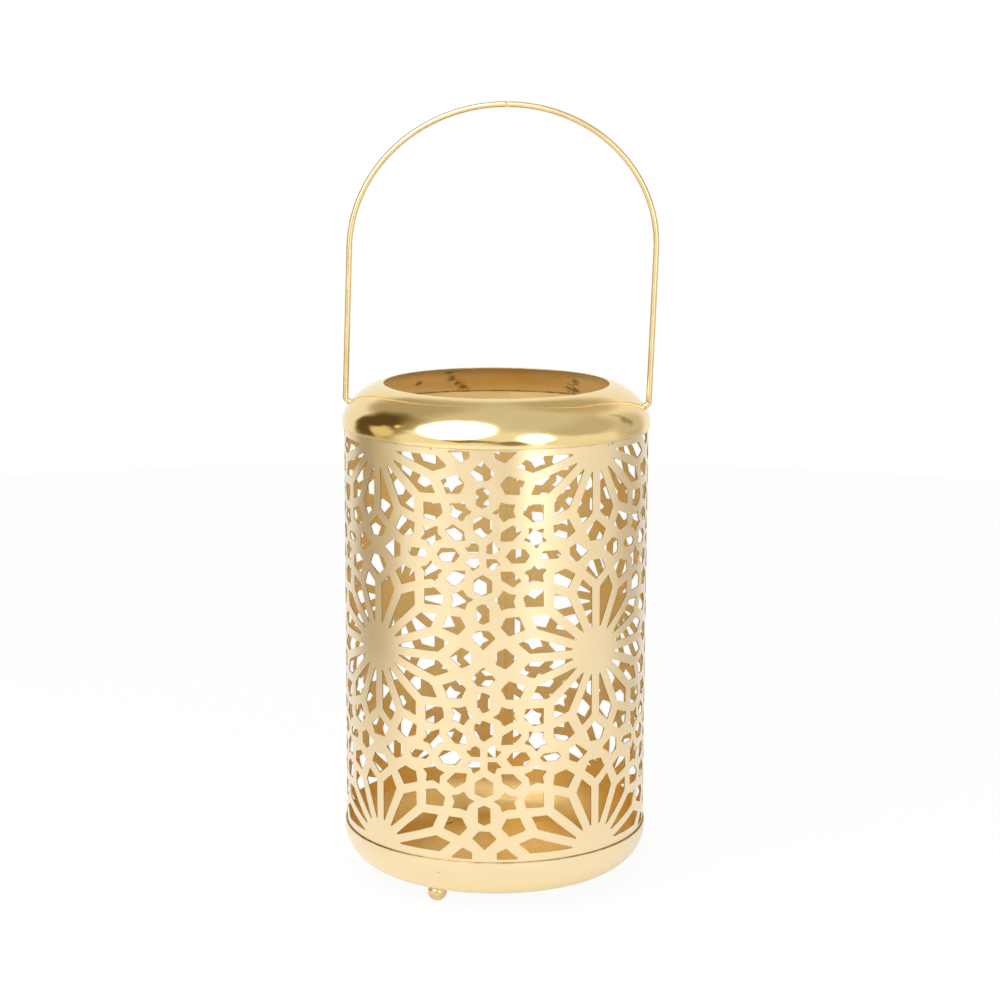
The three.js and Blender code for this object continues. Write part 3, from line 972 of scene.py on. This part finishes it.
def on_foot_circle(name, mesh, material):
    """Stands one mesh on each of the feet's places with a node tree."""
    first = middle(FEET[0])
    tree = Tree(name)
    count = tree.input("Count", len(FEET))
    circle = tree.input("Circle radius", math.hypot(first.x, first.y))
    turn = tree.input("First angle", math.atan2(first.y, first.x))
    seed = tree.input("Seed", 4)
    ring = tree.geo("MeshCircle", {"Vertices": count, "Radius": circle})
    turned = tree.geo("Transform", {"Geometry": ring, "Rotation": tree.vector(z=turn)})
    spin = tree.node("FunctionNodeRandomValue", data_type="FLOAT")
    tree.feed(spin.inputs[3], math.tau)
    tree.feed(spin.inputs["Seed"], seed)
    copies = tree.geo("InstanceOnPoints", {
        "Points": turned, "Instance": tree.group_in,
        "Rotation": tree.vector(z=spin.outputs[1])})
    piece = base_object(name, mesh, material)
    tree.finish(piece, copies)
    return piece


class LANTERN_OT_feet(bpy.types.Operator):
    """Turn the three ball feet"""
    bl_idname = "lantern.feet"
    bl_label = "Ball feet"

    def execute(self, context):
        s = sizes()
        radius = s.foot / 2
        hole = s.screw / 2 + SHANK_PLAY
        hole_end = FOOT_TOP - BORE_DEPTH
        flat_turn = math.asin((FOOT_TOP - radius) / radius)
        profile = []
        steps = BALL_STEPS // 2
        for i in range(steps + 1):
            turn = -QUARTER_TURN + (flat_turn + QUARTER_TURN) * i / steps
            profile.append((radius * math.cos(turn) if i else 0, radius + radius * math.sin(turn)))
        profile += [(hole, FOOT_TOP), (hole, hole_end), (0, hole_end)]
        mesh = turned_mesh("ball", soften(profile, TURNED_EDGE), BALL_STEPS)
        feet = on_foot_circle("ball_feet", mesh, plain_finish("bright_brass"))
        smooth(feet.data)
        ride_on(feet, "lantern", "bright_brass", *FEET)
        return {"FINISHED"}


class LANTERN_OT_screws(bpy.types.Operator):
    """Turn and slot the screws that hold the feet"""
    bl_idname = "lantern.screws"
    bl_label = "Foot screws"

    def execute(self, context):
        s = sizes()
        low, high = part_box(SCREWS[0])
        shank, head = s.screw / 2, (high.x - low.x) / 2
        seat = PAN_BOTTOM + s.sheet + HEAD_GAP
        rim = seat + HEAD_RIM
        profile = [
            (0, low.z), (shank - SHANK_BEVEL, low.z), (shank, low.z + SHANK_BEVEL),
            (shank, seat), (head, seat)]
        dome = [(head * math.cos(t), rim + (high.z - rim) * math.sin(t))
                for t in quarter(BEND_STEPS)]
        profile += [*dome[:-1], (0, high.z)]
        mesh = turned_mesh("screw", soften(profile, TURNED_EDGE), SCREW_STEPS)
        blank = new_object("screw_blank", mesh)
        bm = bmesh.new()
        slot_size = Matrix.Diagonal((3 * head, SLOT_WIDTH, SLOT_CUT, 1))
        bmesh.ops.create_cube(bm, size=1, matrix=Matrix.Translation((0, 0, high.z)) @ slot_size)
        cut_with(blank, [write_back(bm, bpy.data.meshes.new("slot"))])
        mesh = blank.data
        bpy.data.objects.remove(blank)
        screws = on_foot_circle("foot_screws", mesh, inside_finish())
        smooth(screws.data)
        ride_on(screws, "lantern", "bright_brass", *SCREWS)
        return {"FINISHED"}


def bail_line(side):
    """The wire's middle line from inside the cap up to the butt joint."""
    s = sizes()
    straight_top = PIVOT.z + s.bail_height - s.arch
    bend = Vector((s.half_span - s.bend, PIVOT.z + s.bend))
    line = [(bend.x - s.inward_end + along * MM, PIVOT.z) for along in WIRE_END_STEPS]
    for turn in quarter(BEND_STEPS):
        line.append((bend.x + s.bend * math.sin(turn), bend.y - s.bend * math.cos(turn)))
    # The arch stops just short of its top, which leaves the butt joint open a little
    last = QUARTER_TURN - BUTT_GAP / s.half_span
    turns = [last * i / ARCH_STEPS for i in range(ARCH_STEPS)]
    turns += [last - along * MM / s.half_span for along in WIRE_END_STEPS[2::-1]]
    line += [(s.half_span * math.cos(t), straight_top + s.arch * math.sin(t)) for t in turns]
    points = []
    for x, z in line:
        lean = s.bail_lean * max(z - bend.y, 0) / (s.bail_height - s.bend)
        points.append((side * x + lean, 0, z))
    return points


class LANTERN_OT_bail(bpy.types.Operator):
    """Bend the wire of the bail"""
    bl_idname = "lantern.bail"
    bl_label = "Bail"

    def execute(self, context):
        verts, edges = [], []
        for side in (-1, 1):
            points = bail_line(side)
            edges += [(len(verts) + i, len(verts) + i + 1) for i in range(len(points) - 1)]
            verts += points
        mesh = bpy.data.meshes.new("bail_line")
        mesh.from_pydata(verts, edges, [])
        bail = base_object("bail_wire", mesh, plain_finish("drawn_wire"))
        tree = Tree("Wire")
        radius = tree.input("Wire radius", sizes().wire / 2)
        sides = tree.input("Sides", 32)
        ease = tree.input("End rounding", WIRE_END)
        curve = tree.geo("MeshToCurve", {"Mesh": tree.group_in})
        section = tree.geo("CurvePrimitiveCircle", {"Resolution": sides, "Radius": radius})
        along = tree.geo("SplineParameter").outputs["Length"]
        total = tree.geo("SplineLength").outputs["Length"]
        to_end = tree.math("MINIMUM", along, tree.minus(total, along))
        near_end = tree.minus(1.0, tree.math("MINIMUM", tree.over(to_end, ease), 1.0))
        drop = tree.times(tree.times(near_end, near_end), 0.22)
        wire = tree.geo("CurveToMesh", {
            "Curve": curve, "Profile Curve": section, "Fill Caps": True,
            "Scale": tree.minus(1.0, drop)})
        tree.finish(bail, wire)
        smooth(bail.data, 40)
        ride_on(bail, "bail", "bright_brass", "bail_left", "bail_right")
        return {"FINISHED"}


class LANTERN_OT_solder(bpy.types.Operator):
    """Run the braze down the seam at the back"""
    bl_idname = "lantern.solder"
    bl_label = "Solder"

    def execute(self, context):
        s = sizes()
        inner = SLEEVE_RADIUS - s.sheet
        bm = bmesh.new()
        rows, across = 160, 12
        half_width, thickness, inset = 1.5 * MM, 0.28 * MM, 0.1 * MM
        end_gap = 4 * MM
        run = SLEEVE_HIGH.z - SLEEVE_LOW.z - 2 * end_gap
        grid = []
        for i in range(rows + 1):
            height = SLEEVE_LOW.z + end_gap + run * i / rows
            swell = 1 + 0.25 * math.sin(i * 0.9) * math.sin(i * 0.37 + 1) + 0.12 * math.sin(i * 2.3)
            taper = min(1, i / 4 + 0.1, (rows - i) / 4 + 0.1)
            ring = []
            for k in range(across):
                turn = 2 * math.pi * k / across
                wide = half_width * swell * taper * math.cos(turn)
                deep = thickness * swell * taper * math.sin(turn)
                radius = inner + inset + min(deep, inset)
                angle = wide / inner
                place = (radius * math.sin(angle), radius * math.cos(angle), height)
                ring.append(bm.verts.new(place))
            grid.append(ring)
        for low, high in zip(grid, grid[1:]):
            for k in range(across):
                n = (k + 1) % across
                bm.faces.new((low[k], low[n], high[n], high[k]))
        bm.faces.new(grid[0][::-1])
        bm.faces.new(grid[-1])
        bmesh.ops.recalc_face_normals(bm, faces=bm.faces)
        mesh = write_back(bm, bpy.data.meshes.new("seam_solder"))
        seam = base_object("seam_solder", mesh, plain_finish("brazed_seam"))
        smooth(seam.data, 60)
        ride_on(seam, "lantern", "satin_gold")
        return {"FINISHED"}


# Stage

LAMP_COLOUR = (0.97, 1.0, 1.12)
CARD_COLOUR = (0.24, 0.16, 0.06)
TABLE_COLOUR = (0.95, 0.95, 0.95, 1)
WHITE = (1, 1, 1, 1)
WOBBLE_SCALE = 5.0
WOBBLE = 0.22


def around(azimuth, distance, height):
    """A point seen from the lantern: azimuth in degrees from the front towards +X."""
    turn = math.radians(azimuth)
    return Vector((distance * math.sin(turn), -distance * math.cos(turn), height))


def direction(azimuth, elevation):
    rise = math.radians(elevation)
    level = around(azimuth, math.cos(rise), 0)
    return (level.x, level.y, math.sin(rise))


def softbox(name, azimuth, elevation, distance, width, tall, radiance):
    lamp = bpy.data.lights.new(name, "AREA")
    lamp.shape = "ELLIPSE"
    lamp.size, lamp.size_y = width, tall
    lamp.energy = radiance * math.pi * math.pi / 4 * width * tall
    lamp.color = LAMP_COLOUR
    obj = new_object(name, lamp)
    middle_height = Vector((0, 0, (PAN_BOTTOM + CAP_TOP) / 2))
    obj.location = middle_height + distance * Vector(direction(azimuth, elevation))
    aim = middle_height - obj.location
    obj.rotation_mode = "QUATERNION"
    obj.rotation_quaternion = aim.to_track_quat("-Z", "Y")


def dark_card(name, azimuth, distance, width, tall, strength):
    """A soft-edged card that stands beside the lantern and shows only in its reflections."""
    turn = math.radians(azimuth)
    across = Vector((math.cos(turn), math.sin(turn), 0)) * width / 2
    foot = around(azimuth, distance, 0)
    rise = Vector((0, 0, tall))
    corners = [foot - across, foot + across, foot + across + rise, foot - across + rise]
    finish = card_finish(foot + rise / 2, (width / 2, tall / 2), strength)
    card = base_object(name, mesh_from(name, corners, [(0, 1, 2, 3)]), finish)
    card.visible_camera = card.visible_shadow = card.visible_diffuse = False


class World(Nodes):
    """The room round the lantern, seen only as light and in reflections."""

    def __init__(self, colour):
        world = bpy.data.worlds.new("studio")
        world.use_nodes = True
        bpy.context.scene.world = world
        super().__init__(world.node_tree)
        self.tree.nodes.clear()
        look = self.node("ShaderNodeTexCoord").outputs["Generated"]
        noise = self.node("ShaderNodeTexNoise", {"Vector": look, "Scale": WOBBLE_SCALE})
        shift = self.arrow("SUBTRACT", noise.outputs["Color"], (0.5, 0.5, 0.5))
        small = self.node("ShaderNodeVectorMath", {0: shift, "Scale": WOBBLE}, operation="SCALE")
        self.look = self.arrow("NORMALIZE", self.arrow("ADD", look, small))
        self.colour = (*colour, 1)

    def patch(self, azimuth, elevation, inner, outer, colour, squash=(1, 1, 1)):
        """A round patch of another colour, solid up to an inner angle and gone at an outer one."""
        unit = self.arrow("NORMALIZE", self.arrow("MULTIPLY", self.look, squash))
        aim = Vector(a * b for a, b in zip(direction(azimuth, elevation), squash)).normalized()
        close = self.arrow("DOT_PRODUCT", unit, aim, "Value")
        share = self.ramp(close, math.cos(math.radians(outer)), math.cos(math.radians(inner)))
        self.colour = self.mix(share, self.colour, (*colour, 1))

    def finish(self):
        path = self.node("ShaderNodeLightPath").outputs
        seen = self.math("MAXIMUM", path["Is Camera Ray"], path["Is Transmission Ray"])
        white = self.mix(seen, self.colour, WHITE)
        background = self.node("ShaderNodeBackground", {"Color": white, "Strength": 1.0})
        self.node("ShaderNodeOutputWorld", {"Surface": background})


def card_finish(centre, size, strength):
    """Brown in the card's middle, gone at its edges."""
    finish = Finish("dark_card", CARD_COLOUR)
    finish.set("Metallic", 0.0)
    finish.set("Roughness", 0.9)
    x, y, z = finish.split(finish.arrow("SUBTRACT", finish.place, centre))
    beside = finish.ramp(finish.level(x, y), size[0], 0.35 * size[0])
    above = finish.ramp(z, size[1], 0.0)
    finish.set("Alpha", finish.times(finish.times(beside, above), strength))
    return finish.material


def floor_finish():
    """White to the camera and half white in reflections, with the shadow left faintly on it."""
    material = bpy.data.materials.new("white_table")
    material.use_nodes = True
    table = Nodes(material.node_tree)
    table.tree.nodes.clear()
    diffuse = table.node("ShaderNodeBsdfDiffuse", {"Color": TABLE_COLOUR})
    plain = table.node("ShaderNodeEmission", {"Color": WHITE})
    path = table.node("ShaderNodeLightPath").outputs
    seen = table.math("MAXIMUM", path["Is Camera Ray"], table.times(path["Is Glossy Ray"], 0.5))
    mixed = table.node("ShaderNodeMixShader", {0: table.times(seen, 0.93), 1: diffuse, 2: plain})
    table.node("ShaderNodeOutputMaterial", {"Surface": mixed})
    return material


# The lamps: azimuth, elevation, distance, width, height, radiance
SOFTBOXES = {
    "softbox_left": (-30, 40, 1.2, 1.10, 1.50, 2.9),
    "softbox_right": (33, 17, 1.2, 0.56, 0.94, 2.6),
}

# The cards: azimuth, distance, width, height, strength
DARK_CARDS = {
    "dark_card_left": (-91, 0.42, 0.54, 0.24, 0.62),
    "dark_card_right": (118, 0.42, 0.40, 0.24, 0.40),
}

# The room: azimuth, elevation, inner angle, outer angle, colour and, if not round, its squash
ROOM_COLOUR = (1.0, 0.98, 0.93)
ROOM_PATCHES = [
    (85, 40, 20, 38, (0.62, 0.58, 0.50)),
    (126, 6, 12, 30, (0.66, 0.63, 0.58)),
    (5, 85, 25, 50, (0.72, 0.72, 0.70)),
    (-130, 47, 10, 24, (0.50, 0.44, 0.34), (1, 1, 1.6)),
    (155, 50, 8, 24, (0.55, 0.49, 0.38)),
    (-94, 26, 20, 31, (0.40, 0.34, 0.22), (1, 1, 0.6)),
    (-104, 14, 15, 26, (0.12, 0.08, 0.03), (1, 1, 0.42)),
    (-90, 6, 9, 15, (0.85, 0.78, 0.52), (1, 1, 0.7)),
    (-84, 31, 1, 3, (1.4, 1.1, 0.35)),
    (127, 22, 1, 6, (0.36, 0.30, 0.17), (1, 1, 0.3)),
    (-16, 0, 12, 24, (0.26, 0.22, 0.14), (1, 1, 2.6)),
    (22, -4, 12, 26, (0.26, 0.22, 0.14), (1, 1, 3.4)),
]

TABLE_RADIUS = 1.3
TABLE_THICKNESS = 0.02

# The photograph's view, in degrees, metres and millimetres of lens
CAMERA_AZIMUTH = 4.65
CAMERA_DISTANCE = 1.2508
CAMERA_HEIGHT = 0.4426
CAMERA_DOWN = 10.76
CAMERA_ASIDE = 0.0954
CAMERA_ROLL = 0.24
CAMERA_LENS = 86.5
CAMERA_SENSOR = 36


def add_camera():
    camera = new_object("camera", bpy.data.cameras.new("camera"))
    camera.data.lens = CAMERA_LENS
    camera.data.sensor_width = CAMERA_SENSOR
    camera.data.clip_start = 0.01
    camera.matrix_world = Matrix.Translation(
        around(CAMERA_AZIMUTH, CAMERA_DISTANCE, CAMERA_HEIGHT))
    for degrees, axis in (
            (CAMERA_AZIMUTH - CAMERA_ASIDE, "Z"), (90 - CAMERA_DOWN, "X"), (CAMERA_ROLL, "Z")):
        camera.matrix_world @= Matrix.Rotation(math.radians(degrees), 4, axis)
    bpy.context.scene.camera = camera


class LANTERN_OT_stage(bpy.types.Operator):
    """Set the table, the room, the lamps and the camera"""
    bl_idname = "lantern.stage"
    bl_label = "Stage"

    def execute(self, context):
        bpy.context.scene.view_settings.view_transform = "Standard"
        profile = [
            (0, -TABLE_THICKNESS), (TABLE_RADIUS, -TABLE_THICKNESS), (TABLE_RADIUS, 0), (0, 0)]
        mesh = turned_mesh("white_table", profile, TABLE_STEPS)
        base_object("white_table", mesh, floor_finish())
        for name, values in SOFTBOXES.items():
            softbox(name, *values)
        for name, values in DARK_CARDS.items():
            dark_card(name, *values)
        room = World(ROOM_COLOUR)
        for patch in ROOM_PATCHES:
            room.patch(*patch)
        room.finish()
        add_camera()
        return {"FINISHED"}


class LANTERN_PT_panel(bpy.types.Panel):
    """Lists the lantern's pieces and sizes"""
    bl_idname = "LANTERN_PT_panel"
    bl_label = "Pierced lantern"
    bl_space_type = "VIEW_3D"
    bl_region_type = "UI"
    bl_category = "Lantern"

    def draw(self, context):
        layout = self.layout
        for operator in OPERATORS:
            layout.operator(operator.bl_idname)
        for group in (context.scene.lantern_sizes, context.scene.lantern_colours):
            column = layout.column()
            for name in group.__annotations__:
                column.prop(group, name)


OPERATORS = (
    LANTERN_OT_stage,
    LANTERN_OT_sleeve,
    LANTERN_OT_cap,
    LANTERN_OT_pan,
    LANTERN_OT_feet,
    LANTERN_OT_screws,
    LANTERN_OT_bail,
    LANTERN_OT_solder,
)
CLASSES = (LanternSizes, LanternColours, *OPERATORS, LANTERN_PT_panel)


def register():
    for cls in CLASSES:
        bpy.utils.register_class(cls)
    bpy.types.Scene.lantern_sizes = PointerProperty(type=LanternSizes)
    bpy.types.Scene.lantern_colours = PointerProperty(type=LanternColours)


def unregister():
    del bpy.types.Scene.lantern_colours
    del bpy.types.Scene.lantern_sizes
    for cls in reversed(CLASSES):
        bpy.utils.unregister_class(cls)


def main():
    register()
    for operator in OPERATORS:
        group, name = operator.bl_idname.split(".")
        getattr(getattr(bpy.ops, group), name)()


if __name__ == "__main__":
    main()
